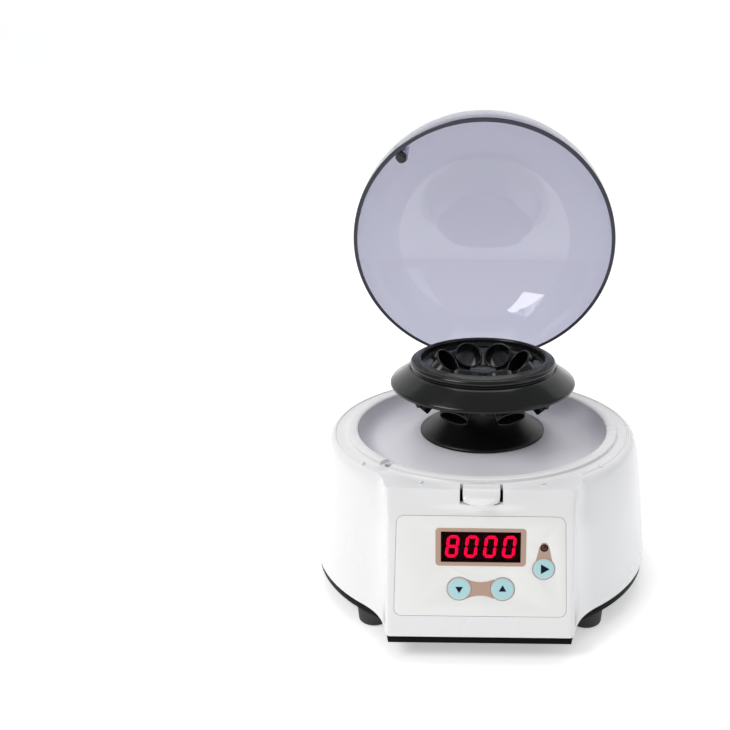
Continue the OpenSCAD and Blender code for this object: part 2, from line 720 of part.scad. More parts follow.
// ---- rear panel ----
module power_inlet() {
    color([0.05, 0.05, 0.05]) at_angle(inlet_angle, rear_r + 0.02)
        translate([0, 0, inlet_z]) rotate([0, 90, 0]) difference() {
            union() {
                cylinder(h = 2, r = 5.8);
                translate([0, 0, -9]) cylinder(h = 9 + eps, r = 4.5);
            }
            translate([0, 0, -7.5]) cylinder(h = 10, r = jack_r);
            translate([0, 0, -9]) cylinder(h = 4, r = inlet_pin_r + 0.02);
        }
}

module inlet_pin() {
    color("silver") at_angle(inlet_angle, rear_r) translate([0, 0, inlet_z]) rotate([0, 90, 0])
        translate([0, 0, -8]) cylinder(h = 8, r = inlet_pin_r);
}

module rocker_switch() {
    s = rocker_size;
    color([0.05, 0.05, 0.05]) at_angle(rocker_angle, rear_r + 0.02) translate([0, 0, inlet_z]) difference() {
        union() {
            translate([0, -s.x / 2 - 1.3, -s.y / 2 - 1.3]) cube([1.8, s.x + 2.6, s.y + 2.6]);
            translate([-14, -s.x / 2 + fit, -s.y / 2 + fit]) cube([14 + eps, s.x - 2 * fit, s.y - 2 * fit]);
        }
        translate([-6, -s.x / 2 + 1.3, -s.y / 2 + 1.3]) cube([12, s.x - 2.6, s.y - 2.6]);
    }
}

rocker_tilt = 9;
module power_rocker() {
    s = rocker_size - [2.6 + 2 * gap, 2.6 + 2 * gap];
    color([0.08, 0.08, 0.08]) at_angle(rocker_angle, rear_r) translate([-1.6, 0, inlet_z])
        rotate([0, rocker_tilt, 0]) difference() {
            union() {
                intersection() {
                    translate([-1, -s.x / 2, -s.y / 2 + 0.7]) cube([5, s.x, s.y - 1.4]);
                    rotate([90, 0, 0]) cylinder(h = s.x, r = s.y / 2 - 0.3, center = true);
                }
                rotate([90, 0, 0]) cylinder(h = s.x, r = 2.2, center = true);
            }
            translate([18, 0, 0]) rotate([90, 0, 0]) cylinder(h = s.x + 1, r = 15.6, center = true);
        }
}

// ---- wiring ----
// One lead: a thin round tube swept through the given points
lead_sides = 8;
function unit(v) = v / norm(v);
function lead_direction(points, i) =
    unit(points[min(i + 1, len(points) - 1)] - points[max(i - 1, 0)]);
function lead_ring(centre, direction, r) =
    let (side = unit(cross(direction, [1, 0.2, 0.1])), up = cross(side, direction))
    [for (k = [0:lead_sides - 1]) let (a = 360 * k / lead_sides) centre + r * (cos(a) * side + sin(a) * up)];
module lead(points, r) {
    last = len(points) - 1;
    polyhedron(
        [for (i = [0:last]) each lead_ring(points[i], lead_direction(points, i), r)],
        concat([[for (k = [lead_sides - 1:-1:0]) k]],
            [for (i = [0:last - 1], k = [0:lead_sides - 1]) let (n = (k + 1) % lead_sides)
                [i * lead_sides + k, i * lead_sides + n, (i + 1) * lead_sides + n, (i + 1) * lead_sides + k]],
            [[for (k = [0:lead_sides - 1]) last * lead_sides + k]]));
}

lead_r = 0.7;
lead_x = 1.3;       // half the distance between the two leads of a pair
module wiring() {
    plug_z = board_top_z + 3.8;
    over_z = 33;
    // motor
    color([0.7, 0.1, 0.1]) for (s = [-1, 1]) let (x = headers[1].x + s * lead_x)
        lead([[s * 11, 0.45, motor_low_z - 3.4], [s * 11, 19, motor_low_z - 3.4], [s * 11, 21.6, motor_low_z],
            [s * 11, 21.6, over_z - 2], [x, 25.4, over_z], [x, 27, over_z - 2], [x, 27, plug_z]], lead_r);
    // rocker switch
    color([0.15, 0.15, 0.15]) for (s = [-1, 1]) let (x = headers[0].x + s * lead_x)
        lead([[x, 27, plug_z], [x, 27, over_z - 3], [x - 3, 30, over_z], [x - 9, 39, over_z],
            [-30.4 + s, 45.2, inlet_z + 2]], lead_r);
    // power inlet
    color([0.15, 0.15, 0.15]) for (s = [-1, 1]) let (x = headers[3].x + s * lead_x)
        lead([[x, 27, plug_z], [x, 27, over_z - 3], [x + 3, 30, over_z], [x + 9, 40, over_z],
            [33 + s, 49.5, inlet_z + 1]], lead_r);
    // display
    color([0.8, 0.7, 0.2]) for (s = [-1, 1]) let (x = headers[2].x + s * lead_x)
        lead([[x, 27, plug_z], [x, 27, over_z + 2], [x + 6, 24.5, over_z + 6], [x + 18, 14, over_z + 6],
            [x + 19, -20, over_z + 6], [x + 17, -46, over_z + 6], [x + 14, -60, over_z + 6],
            [x + 14, -65.3, over_z + 6]], lead_r);
}

// ---- lid ----
tab_w = 14;
tab_l = 1.4;

module swing(a) {
    translate([0, hinge_y, hinge_z]) rotate([-a, 0, 0]) translate([0, -hinge_y, -hinge_z]) children();
}

module dome_outline(r, h, low) {
    straight = 2.5;
    polygon(concat([[0, low], [r, low]],
        [for (p = bulge(r, h - straight, 2.05, 28)) p + [0, straight]]));
}

// The lid as it lies when closed
module closed_lid() {
    difference() {
        union() {
            translate([0, 0, lid_z]) rotate_extrude() dome_outline(lid_r, dome_h, 0);
            // tab over the latch tongue
            translate([0, 0, lid_z]) intersection() {
                rotate_extrude() polygon([[lid_r - 1, 0.2], [lid_r + tab_l - 0.2, 0.2], [lid_r + tab_l, 0.4],
                    [lid_r + tab_l - 0.4, 1.6], [lid_r - 1, 2.6]]);
                translate([-tab_w / 2, -80, -1]) cube([tab_w, 40, 20]);
            }
            // arm back to the knuckle, with a heel that meets the stop when the lid is open
            intersection() {
                difference() {
                    hull() {
                        translate([0, hinge_y, hinge_z]) bar(knuckle_w, knuckle_r);
                        translate([-knuckle_w / 2, lid_r - 8, lid_z]) cube([knuckle_w, 4, 6]);
                    }
                    cylinder(h = lid_z, r = ledge_r + 3);
                }
                translate([-knuckle_w / 2, 0, 0]) cube([knuckle_w, 100, 100]);
            }
            translate([-knuckle_w / 2, hinge_y, hinge_z - 1.2]) cube([knuckle_w, heel_r - 0.6, 2.4]);
        }
        translate([0, 0, lid_z]) rotate_extrude() dome_outline(lid_r - lid_wall, dome_h - lid_wall, -1);
        translate([0, hinge_y, hinge_z]) bar(hinge_block_w, pin_r + 0.05);
    }
    // boss that carries the striker
    at_angle(striker_angle, switch_r) difference() {
        translate([0, 0, lid_z + 2.5]) cylinder(h = 12, r = 3);
        translate([0, 0, lid_z + 1]) cylinder(h = 6.5, r = striker_r + 0.03);
    }
}

module dome_lid() {
    color([0.6, 0.58, 0.85, 0.45]) swing(lid_swing) intersection() {
        closed_lid();
        union() {
            translate([0, 0, lid_z]) rotate_extrude() dome_outline(lid_r, dome_h, 0);
            translate([-knuckle_w, lid_r - 12, 0]) cube([2 * knuckle_w, 60, lid_z + 12]);
            translate([-knuckle_w, -lid_r - 30, 0]) cube([2 * knuckle_w, 40, lid_z + 12]);
        }
    }
}

module lid_striker() {
    color([0.03, 0.03, 0.03]) swing(lid_swing) at_angle(striker_angle, switch_r)
        translate([0, 0, striker_low]) {
            cylinder(h = 7, r = striker_r);
            translate([0, 0, 1.5]) cylinder(h = 1.9, r = 2.4);
        }
}

// ---- latch ----
module latch_tongue() {
    half = slot_x - slot_w / 2;
    color("white") intersection() {
        rotate_extrude() polygon([[tongue_root_y, ledge_z - eps],
            [ledge_r - 0.8, ledge_z - 0.1], [tongue_tip_y - 0.9, tongue_low_z + 2],
            [tongue_tip_y + 3.1, tongue_low_z + 0.6], [tongue_tip_y + 3.2, tongue_low_z - 0.3],
            [tongue_tip_y - 1.6, tongue_low_z - 0.3], [ledge_r - 3.2, ledge_z - 2.4],
            [tongue_root_y, ledge_z - 2.4]]);
        translate([-half, -90, 0]) cube([2 * half, 90 - tongue_root_y - 0.1, 100]);
        // the lip is curved when seen from above
        translate([0, lip_curve_r - tongue_tip_y - 3.2, 0]) cylinder(h = 100, r = lip_curve_r);
    }
}

// ---- rotor ----
cone_tilt = 45;
sleeve_l = 20;
collar_l = 0.6;
sleeve_r = 6.5;
mouth_z = crest_z - 5;
skirt_z = crest_z - 11.3;
hub_low_z = crest_z - 19.6;
hub_top_z = crest_z - 12.4;
hub_r = 8;

module place_tube() { translate([pitch_r, 0, mouth_z]) rotate([0, 180 - cone_tilt, 0]) children(); }

module rotor_body() {
    rim = 2;
    color([0.04, 0.04, 0.04]) difference() {
        union() {
            rotate_extrude() polygon(concat(
                [[hub_r, hub_low_z], [hub_r + 4, hub_low_z + 0.5], [pitch_r + 5, mouth_z - 2]],
                [[crest_r - 1, crest_z - 6], [skirt_r - 2.2, skirt_z - 1.2], [skirt_r - 0.6, skirt_z - 1.2]],
                [[skirt_r, skirt_z - 0.4], [skirt_r - 0.4, skirt_z + 0.8], [crest_r + 4.4, crest_z - 5.4]],
                [[crest_r + 2.6, crest_z - 4.8]],
                arc([crest_r + 1.9, crest_z - 2.9], 1.6, -60, 90, 6),
                arc([crest_r - 0.4, crest_z - 1], 1.2, 60, 180, 6),
                [[crest_r - 2.2, crest_z - 3.6], [pitch_r + 5.2, mouth_z + 1.6]],
                [[hub_r + 1, hub_top_z - 1], [hub_r - 0.4, hub_top_z], [0, hub_top_z], [0, hub_low_z]]));
            for (i = [0:places - 1]) rotate([0, 0, 360 / places * (i + 0.5)]) place_tube() {
                translate([0, 0, -collar_l]) cylinder(h = 3, r = sleeve_r);
                cylinder(h = sleeve_l, r = sleeve_r);
            }
            // small teeth under the edge of the skirt
            for (i = [0:places - 1]) rotate([0, 0, 360 / places * i]) translate([skirt_r - 5.4, 0, skirt_z - 1.2])
                rotate([90, 0, 90]) linear_extrude(3) polygon([[-3.6, 2], [3.6, 2], [0.3, -2.6], [-0.3, -2.6]]);
        }
        for (i = [0:places - 1]) rotate([0, 0, 360 / places * (i + 0.5)]) place_tube()
            translate([0, 0, -12]) cylinder(h = sleeve_l + 30, r = bore_r);
        translate([0, 0, hub_low_z - 1]) cylinder(h = 20, r = 4.02);
    }
}

module drive_hub() {
    color([0.8, 0.65, 0.35]) translate([0, 0, hub_low_z]) difference() {
        union() {
            translate([0, 0, -10]) cylinder(h = 7 + eps, r = 6);
            translate([0, 0, -3]) cylinder(h = 3 - 0.02, r = 8.6);
            translate([0, 0, -3]) cylinder(h = hub_top_z - hub_low_z + 3, r = 4);
            cylinder(h = hub_top_z - hub_low_z + 4.4, r = 3);
        }
        translate([0, 0, -11]) cylinder(h = hub_top_z - hub_low_z + 3.02, r = shaft_r + 0.01);
    }
}

module rotor_nut() {
    color([0.06, 0.06, 0.06]) translate([0, 0, hub_top_z + 0.02]) difference() {
        union() {
            cylinder(h = 5.4, r = 6.6);
            translate([0, 0, 5.4 - eps]) cylinder(h = 0.8, r1 = 6.6, r2 = 5.8);
        }
        translate([0, 0, -1]) cylinder(h = 5.6, r = 3.02);
        for (i = [0:17]) rotate([0, 0, i * 20]) translate([6.9, 0, -1]) cylinder(h = 9, r = 0.6, $fn = 16);
    }
}

upper_housing();
bowl_deck();
base_tray();
rubber_feet();
foot_screws();
case_screws();
hinge_pin();
motor_shroud();
shroud_screws();
motor_plate();
rubber_mounts();
mount_screws();
motor_can();
motor_end_cap();
motor_terminals();
motor_bearings();
motor_magnets();
motor_screws();
keypad_overlay();
display_frame();
display_window();
display_digits();
display_module();
display_board();
key_switches();
status_lamp();
display_screws();
main_board();
capacitors();
power_transistor();
wire_headers();
board_screws();
lid_switch();
power_inlet();
inlet_pin();
rocker_switch();
wiring();
dome_lid();
lid_striker();
latch_tongue();
start_key();
start_mark();
down_key();
down_mark();
up_key();
up_mark();
power_rocker();
switch_plunger();
rotor_body();
rotor_nut();
drive_hub();
motor_shaft();
armature();
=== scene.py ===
"""Bench mini centrifuge with a clear dome lid: its looks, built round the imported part."""
import math

import bmesh
import bpy
from mathutils import Matrix, Vector


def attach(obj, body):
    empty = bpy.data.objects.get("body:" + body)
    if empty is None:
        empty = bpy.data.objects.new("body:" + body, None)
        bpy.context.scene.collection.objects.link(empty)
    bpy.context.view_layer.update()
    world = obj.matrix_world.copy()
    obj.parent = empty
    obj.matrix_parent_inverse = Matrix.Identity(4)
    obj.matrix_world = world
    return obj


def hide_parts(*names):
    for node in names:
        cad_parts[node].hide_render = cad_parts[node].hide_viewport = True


bl_info = {
    "name": "Bench mini centrifuge",
    "version": (1, 0, 0),
    "blender": (4, 5, 0),
    "location": "3D View > Sidebar > Centrifuge",
    "description": "Housing, rotor, clear lid and console of a bench mini centrifuge",
    "category": "Add Mesh",
}

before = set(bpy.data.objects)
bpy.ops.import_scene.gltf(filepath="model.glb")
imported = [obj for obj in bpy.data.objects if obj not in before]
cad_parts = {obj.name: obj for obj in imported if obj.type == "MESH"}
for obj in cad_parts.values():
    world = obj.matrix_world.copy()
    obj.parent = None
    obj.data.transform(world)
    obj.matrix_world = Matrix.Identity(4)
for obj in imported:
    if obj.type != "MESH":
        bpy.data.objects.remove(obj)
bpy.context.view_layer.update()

MM = 0.001              # shapes are worked out in millimetres and scaled at the end
PART_Z = 12.0           # joint between housing and tray
LEDGE_Z = 71.0
RING_Z = 72.5
BOWL_R = 57.0
RING_R = 61.7
WALL = 2.5
CONSOLE_Y = 82.9        # lower edge of the face, from the rotor's axis
FACE_LEAN = 12.7
FACE_TOP_Z = 62.73
FACE_SLOPE = math.tan(math.radians(FACE_LEAN))
HINGE = Vector((0, 76, 67))
LID_Z = 71.2
STRIKER_TURN = -40.5
STRIKER_R = 59.4
START = (25.2, 29.3)
LAMP = (25.2, 38.0)
DOWN = (-8.5, 20.6)
UP = (8.9, 20.6)
WINDOW_V = 38.0
TONGUE_HALF = 7.375     # half width of the latch tongue, between two slots
TONGUE_SLOT = 1.15
REAR_R = 69.6           # flats that the inlet and the rocker sit on
INLET_TURN, ROCKER_TURN, REAR_Z = 146, 214, 29
FACE = Matrix.Translation((0, -CONSOLE_Y, PART_Z)) @ Matrix.Rotation(math.radians(90 - FACE_LEAN), 4, "X")


# ---- sizes and colours a user may change ----
def length(name, description, default_mm):
    return bpy.props.FloatProperty(name=name, description=description, default=default_mm * MM,
                                   min=0, precision=5, unit="LENGTH")


def colour(name, description, default):
    return bpy.props.FloatVectorProperty(name=name, description=description, default=default,
                                         size=3, min=0, max=1, subtype="COLOR")


class HousingSizes(bpy.types.PropertyGroup):
    """Sizes of the white housing and its console."""
    console_half_low: length("Console, lower half width", "Half the width of the console at its foot", 38)
    console_half_top: length("Console, upper half width", "Half the width of the console at its top", 34.5)
    fillet: length("Console fillet", "How far the console's sides blend into the round body", 9)
    face_edge: length("Face edge", "Rounding of the console's own edges", 2.4)
    groove_depth: length("Ledge groove", "Depth of the groove round the ledge", 0.3)


class LidSizes(bpy.types.PropertyGroup):
    """Sizes of the clear lid."""
    rim_radius: length("Rim radius", "Outer radius of the rim", 64.1)
    dome_height: length("Dome height", "Height of the dome above its rim", 52.5)
    wall: length("Wall", "Thickness of the dome", 1.9)
    swing: bpy.props.FloatProperty(name="Swing", description="Angle between closed and open",
                                   default=math.radians(73), subtype="ANGLE")


class RotorSizes(bpy.types.PropertyGroup):
    """Sizes of the tube rotor."""
    crest_radius: length("Crest radius", "Radius of the rolled rim", 29.3)
    skirt_radius: length("Skirt radius", "Radius of the skirt's edge", 41.7)
    bore_radius: length("Bore radius", "Radius of a tube place", 5.6)
    lip: length("Collar lip", "Rounding of a collar's mouth", 0.42)


class ConsoleSizes(bpy.types.PropertyGroup):
    """Sizes of what is printed and pressed on the console."""
    key_radius: length("Key radius", "Radius of a speed key", 4.8)
    start_radius: length("Start key radius", "Radius of the start key", 4.4)
    key_ring: length("Key ring", "Width of the pale ring round a key", 0.5)
    frame_band: length("Window frame", "Width of the printed frame round the window", 2.2)


class FinishColours(bpy.types.PropertyGroup):
    """Colours of the finishes."""
    shell: colour("Shell", "Glossy white of the housing", (0.80, 0.80, 0.803))
    bowl: colour("Bowl", "Pale lavender grey of the bowl's floor", (0.80, 0.79, 0.85))
    black: colour("Black plastic", "Rotor, shroud and tray", (0.004, 0.0045, 0.004))
    lid: colour("Lid", "Tint of the clear lid", (0.42, 0.42, 0.515))
    film: colour("Keypad film", "Pale grey of the keypad", (0.83, 0.83, 0.81))
    tan: colour("Tan print", "Printed frame and links", (0.47, 0.315, 0.235))
    key: colour("Key", "Pale cyan of the keys", (0.42, 0.68, 0.71))
    segment: colour("Digits", "Glow of the display", (1.0, 0.012, 0.22))


# ---- finishes ----
class Finish:
    """A principled material with helpers for grain, bump and mottling on object coordinates."""

    def __init__(self, name, base, roughness, **sockets):
        self.material = bpy.data.materials.new(name)
        self.material.use_nodes = True
        self.tree = self.material.node_tree
        self.shader = self.tree.nodes["Principled BSDF"]
        self.shader.inputs["Base Color"].default_value = (*base, 1)
        self.shader.inputs["Roughness"].default_value = roughness
        self.base, self.roughness = base, roughness
        for socket, value in sockets.items():
            self.shader.inputs[socket.replace("_", " ")].default_value = value
        self.place = self.tree.nodes.new("ShaderNodeTexCoord").outputs["Object"]
        self.bumps = None

    def noise(self, per_metre, detail=3, stretch=None):
        node = self.tree.nodes.new("ShaderNodeTexNoise")
        node.inputs["Scale"].default_value = per_metre
        node.inputs["Detail"].default_value = detail
        source = self.place
        if stretch:
            mapping = self.tree.nodes.new("ShaderNodeMapping")
            mapping.inputs["Scale"].default_value = stretch
            self.tree.links.new(source, mapping.inputs["Vector"])
            source = mapping.outputs["Vector"]
        self.tree.links.new(source, node.inputs["Vector"])
        return node.outputs["Fac"]

    def spread(self, value, low, high, at=(0.35, 0.65)):
        node = self.tree.nodes.new("ShaderNodeMapRange")
        for socket, number in zip(("From Min", "From Max", "To Min", "To Max"), (*at, low, high)):
            node.inputs[socket].default_value = number
        self.tree.links.new(value, node.inputs["Value"])
        return node.outputs["Result"]

    def bump(self, height, depth_mm, strength=1.0):
        node = self.tree.nodes.new("ShaderNodeBump")
        node.inputs["Distance"].default_value = depth_mm * MM
        node.inputs["Strength"].default_value = strength
        self.tree.links.new(height, node.inputs["Height"])
        if self.bumps:
            self.tree.links.new(self.bumps, node.inputs["Normal"])
        self.bumps = node.outputs["Normal"]
        self.tree.links.new(self.bumps, self.shader.inputs["Normal"])
        return self

    def mottle(self, value, darker, at=(0.3, 0.7)):
        """Colour varies between the base and the base times darker."""
        node = self.tree.nodes.new("ShaderNodeMix")
        node.data_type = "RGBA"
        node.inputs["A"].default_value = (*self.base, 1)
        node.inputs["B"].default_value = (*[c * darker for c in self.base], 1)
        self.tree.links.new(self.spread(value, 0, 1, at), node.inputs["Factor"])
        self.tree.links.new(node.outputs["Result"], self.shader.inputs["Base Color"])
        return self

    def worn(self, value, more):
        """Roughness varies between the base and a duller one."""
        self.tree.links.new(self.spread(value, self.roughness, self.roughness + more),
                            self.shader.inputs["Roughness"])
        return self


def moulded(name, base, roughness, grain=0.006, **sockets):
    """Moulded plastic: a faint flow mottle, a fine grain and a slow ripple of the tool."""
    finish = Finish(name, base, roughness, **sockets)
    finish.mottle(finish.noise(35, 4), 0.965).worn(finish.noise(260, 3), 0.07)
    finish.bump(finish.noise(2600, 2), grain).bump(finish.noise(60, 2), 0.05, 0.5)
    return finish.material


def metal(name, base, roughness, stretch=(1, 1, 14)):
    """Drawn or turned metal with fine brushed lines."""
    finish = Finish(name, base, roughness, Metallic=1.0)
    lines = finish.noise(900, 4, stretch)
    finish.mottle(lines, 0.8).worn(lines, 0.12).bump(lines, 0.006)
    return finish.material


def rubber(name, base):
    finish = Finish(name, base, 0.72)
    finish.mottle(finish.noise(120, 4), 1.6).bump(finish.noise(1800, 3), 0.02)
    return finish.material


def clear(name, base, roughness=0.03, **sockets):
    """Clear tinted acrylic with a very slow moulding ripple and faint wipe marks."""
    finish = Finish(name, base, roughness, **{"Transmission_Weight": 1.0, "IOR": 1.49, **sockets})
    finish.worn(finish.noise(140, 5, (1, 3, 1)), 0.03)
    finish.bump(finish.noise(30, 2), 0.03, 0.35)
    return finish.material


def make_finishes(c):
    """Every finish of the machine, by name."""
    shell = Finish("white_shell", tuple(c.shell), 0.24, Coat_Weight=0.2, Coat_Roughness=0.14)
    shell.mottle(shell.noise(28, 2), 0.985).worn(shell.noise(40, 2), 0.04)
    film = Finish("keypad_film", tuple(c.film), 0.42)
    film.mottle(film.noise(60, 3), 0.985).bump(film.noise(3200, 2), 0.012)
    glow = Finish("lit_segment", tuple(c.segment), 0.5, Emission_Strength=1.9)
    glow.shader.inputs["Emission Color"].default_value = (*c.segment, 1)
    glow.mottle(glow.noise(1500, 2), 0.85)
    board = Finish("board", (0.02, 0.16, 0.06), 0.4)
    board.mottle(board.noise(700, 2), 0.5, (0.5, 0.52)).bump(board.noise(700, 2), 0.03)
    copper = Finish("winding", (0.6, 0.24, 0.10), 0.3, Metallic=1.0)
    copper.bump(copper.noise(1500, 2, (1, 1, 0.1)), 0.15)
    magnet = Finish("magnet", (0.07, 0.07, 0.08), 0.6)
    magnet.mottle(magnet.noise(900, 5), 1.8).bump(magnet.noise(900, 5), 0.05)
    # painted shade: the lid's rim annulus gets an opaque near-black finish in place of the darkening seen along
    # the tinted acrylic's edge, not a dark part of its own
    edge = Finish("lid_rim_painted_shade", (0.012, 0.014, 0.03), 0.12)
    edge.worn(edge.noise(300, 3), 0.1).bump(edge.noise(300, 3), 0.02)
    return {
        "shell": shell.material, "film": film.material, "glow": glow.material, "board": board.material,
        "copper": copper.material, "magnet": magnet.material, "lid_rim_painted_shade": edge.material,
        "bowl": moulded("bowl_plastic", tuple(c.bowl), 0.30),
        "rotor": moulded("rotor_plastic", tuple(c.black), 0.14, 0.004, Specular_IOR_Level=0.36),
        "shroud": moulded("shroud_plastic", tuple(c.black), 0.30, 0.01, Specular_IOR_Level=0.28),
        "black": moulded("black_plastic", (0.0025, 0.0025, 0.003), 0.45, 0.02, Specular_IOR_Level=0.06),
        "lid": clear("clear_lid", tuple(c.lid)),
        "window": clear("display_filter", (0.65, 0.02, 0.13), 0.08, IOR=1.12, Specular_IOR_Level=0.05),
        "tan": moulded("tan_print", tuple(c.tan), 0.45),
        "ring": moulded("ring_print", (0.55, 0.52, 0.50), 0.45),
        "key": moulded("key_film", tuple(c.key), 0.38, 0.015),
        "ink": moulded("mark_ink", (0.002, 0.008, 0.02), 0.45, Specular_IOR_Level=0.1),
        "lamp": moulded("lamp_lens", (0.05, 0.003, 0.004), 0.12, 0.003),
        "steel": metal("plated_steel", (0.62, 0.62, 0.64), 0.28),
        "brass": metal("turned_brass", (0.75, 0.55, 0.22), 0.25),
        "aluminium": metal("black_anodised", (0.05, 0.05, 0.055), 0.35),
        "rubber": rubber("black_rubber", (0.018, 0.018, 0.018)),
        "can": moulded("capacitor_sleeve", (0.02, 0.03, 0.13), 0.3),
        "cream": moulded("nylon", (0.75, 0.7, 0.55), 0.45),
        "lead_red": moulded("red_lead", (0.42, 0.02, 0.02), 0.35),
    }


# ---- modelling helpers, all in millimetres ----
def chain(bm, points, closed):
    """A line of edges through (radius, height) points in the plane above +X."""
    verts = [bm.verts.new((r, 0, z)) for r, z in points]
    pairs = list(zip(verts, verts[1:])) + ([(verts[-1], verts[0])] if closed else [])
    return verts + [bm.edges.new(pair) for pair in pairs]


def tidy(bm):
    bmesh.ops.remove_doubles(bm, verts=bm.verts, dist=1e-4)
    bmesh.ops.recalc_face_normals(bm, faces=bm.faces)
    return bm


def spun(points, steps=128, closed=True):
    """A full turn of a profile round Z. An open profile starts and ends on the axis."""
    bm = bmesh.new()
    bmesh.ops.spin(bm, geom=chain(bm, points, closed), cent=(0, 0, 0), axis=(0, 0, 1),
                   angle=math.tau, steps=steps, use_merge=True)
    return tidy(bm)


def plate(points, low, high, corner=0.0, corner_steps=8):
    """A flat plate between two heights, its corners rounded."""
    bm = bmesh.new()
    bm.faces.new([bm.verts.new((x, y, low)) for x, y in points])
    if corner:
        bmesh.ops.bevel(bm, geom=list(bm.verts), offset=corner, offset_type="OFFSET", affect="VERTICES",
                        segments=corner_steps, profile=0.5, material=-1)
    lifted = bmesh.ops.extrude_face_region(bm, geom=list(bm.faces))["geom"]
    bmesh.ops.translate(bm, vec=(0, 0, high - low), verts=[v for v in lifted if isinstance(v, bmesh.types.BMVert)])
    return tidy(bm)


def block(lowest, highest, place=Matrix()):
    """A box between two corners."""
    low, high = Vector(lowest), Vector(highest)
    bm = bmesh.new()
    bmesh.ops.create_cube(bm, size=1, matrix=place @ Matrix.Translation((low + high) / 2)
                          @ Matrix.Diagonal((*(high - low), 1)))
    return bm


def rod(radius, low, high, place=Matrix(), segments=64):
    """A round bar along Z between two heights."""
    bm = bmesh.new()
    bmesh.ops.create_cone(bm, cap_ends=True, radius1=radius, radius2=radius, depth=high - low, segments=segments,
                          matrix=place @ Matrix.Translation((0, 0, (low + high) / 2)))
    return bm


def moved(bm, place):
    bmesh.ops.transform(bm, matrix=place, verts=bm.verts)
    return bm


def together(*parts):
    """Several meshes in one, without joining their skins."""
    whole = parts[0]
    for part in parts[1:]:
        mesh = bpy.data.meshes.new("part")
        part.to_mesh(mesh)
        part.free()
        whole.from_mesh(mesh)
        bpy.data.meshes.remove(mesh)
    return whole


def combined(base, tool, operation):
    """base with tool joined on, or cut away."""
    held = []
    for bm in (base, tool):
        mesh = bpy.data.meshes.new("held")
        bm.to_mesh(mesh)
        bm.free()
        held.append(bpy.data.objects.new("held", mesh))
        bpy.context.scene.collection.objects.link(held[-1])
    modifier = held[0].modifiers.new("combine", "BOOLEAN")
    modifier.operation, modifier.solver, modifier.object = operation, "EXACT", held[1]
    bpy.context.view_layer.update()
    result = bmesh.new()
    result.from_object(held[0], bpy.context.evaluated_depsgraph_get())
    for obj in held:
        mesh = obj.data
        bpy.data.objects.remove(obj)
        bpy.data.meshes.remove(mesh)
    return result


def joined(base, *tools):
    for tool in tools:
        base = combined(base, tool, "UNION")
    return base


def cut(base, *tools):
    for tool in tools:
        base = combined(base, tool, "DIFFERENCE")
    return base


def eased(bm, width, above=35, segments=2):
    """Rounds every edge sharper than an angle."""
    sharp = [e for e in bm.edges if len(e.link_faces) == 2 and e.calc_face_angle() > math.radians(above)]
    bmesh.ops.bevel(bm, geom=sharp, offset=width, offset_type="OFFSET", segments=segments, profile=0.5,
                    material=-1, affect="EDGES", clamp_overlap=True)
    return bm


def around(turn, out=0.0, z=0.0):
    """Local +X points away from the rotor's axis, at a turn from the front toward +X."""
    return Matrix.Rotation(math.radians(turn - 90), 4, "Z") @ Matrix.Translation((out, 0, z))


def piece(name, bm, body, slot, finishes, nodes=(), smooth=35):
    """The finished object: at the origin, in metres, riding on its body."""
    bmesh.ops.scale(bm, vec=(MM, MM, MM), verts=bm.verts)
    mesh = bpy.data.meshes.new(name)
    bm.to_mesh(mesh)
    bm.free()
    for finish in finishes:
        mesh.materials.append(finish)
    mesh.shade_smooth()
    mesh.set_sharp_from_angle(angle=math.radians(smooth))
    obj = bpy.data.objects.new(name, mesh)
    bpy.context.scene.collection.objects.link(obj)
    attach(obj, body)
    if nodes:
        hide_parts(*nodes)
    return obj


def softened(node, body, slot, finish, width, above=35):
    """A copy of a CAD node with its edges rounded."""
    bm = bmesh.new()
    bm.from_mesh(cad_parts[node].data)
    bmesh.ops.scale(bm, vec=(1 / MM, 1 / MM, 1 / MM), verts=bm.verts)
    tidy(bm)
    bmesh.ops.dissolve_limit(bm, angle_limit=math.radians(0.8), use_dissolve_boundaries=False,
                             verts=bm.verts, edges=bm.edges)
    return piece("soft_" + node, eased(bm, width, above), body, slot, [finish], [node])


# ---- shapes ----
def blend_max(a, b, reach):
    near = max(reach - abs(a - b), 0) / reach
    return max(a, b) + near * near * reach / 4


def blend_min(a, b, reach):
    return -blend_max(-a, -b, reach)


def ramp(x, start, end):
    t = min(max((x - start) / (end - start), 0), 1)
    return t * t * (3 - 2 * t)


BODY_LINE = [(12, 78.25), (12.5, 78.55), (20, 77.7), (30, 76.55), (40, 75.4), (46, 74.72), (50, 74.2), (54, 73.6),
             (58, 72.85), (62, 72.0), (65, 71.25), (67.5, 70.5), (69, 69.9), (69.9, 69.35), (70.5, 68.75),
             (70.85, 68.2), (71, 67.7)]


def body_radius(z):
    for (z0, r0), (z1, r1) in zip(BODY_LINE, BODY_LINE[1:]):
        if z <= z1:
            return r0 + (r1 - r0) * max(z - z0, 0) / (z1 - z0)
    return BODY_LINE[-1][1]


def skin_radius(turn, z, s):
    """Distance from the axis to the housing's outside, where the console's wedge stands out of the round body."""
    ahead, aside = math.cos(turn), abs(math.sin(turn))
    body = body_radius(z)
    if ahead < 0.55:
        return body
    rise = (z - PART_Z) / (FACE_TOP_Z - PART_Z)
    half = (s.console_half_low + (s.console_half_top - s.console_half_low) * rise) / MM
    splay = 0.24
    face = (CONSOLE_Y - FACE_SLOPE * (z - PART_Z)) / ahead
    roof = (CONSOLE_Y - FACE_SLOPE * (FACE_TOP_Z - PART_Z) - (z - FACE_TOP_Z) * 0.62) / ahead
    side = (half + splay * CONSOLE_Y) / (aside + splay * ahead)
    edge = s.face_edge / MM
    wedge = blend_min(blend_min(face, roof, edge), side, edge)
    hidden = ramp(half - wedge * aside, 2, 9) * ramp(z, 66, 58)
    reach = s.fillet / MM * (1 - 0.6 * ramp(z, 50, 62))
    return blend_max(body - 14 * hidden, wedge, reach)


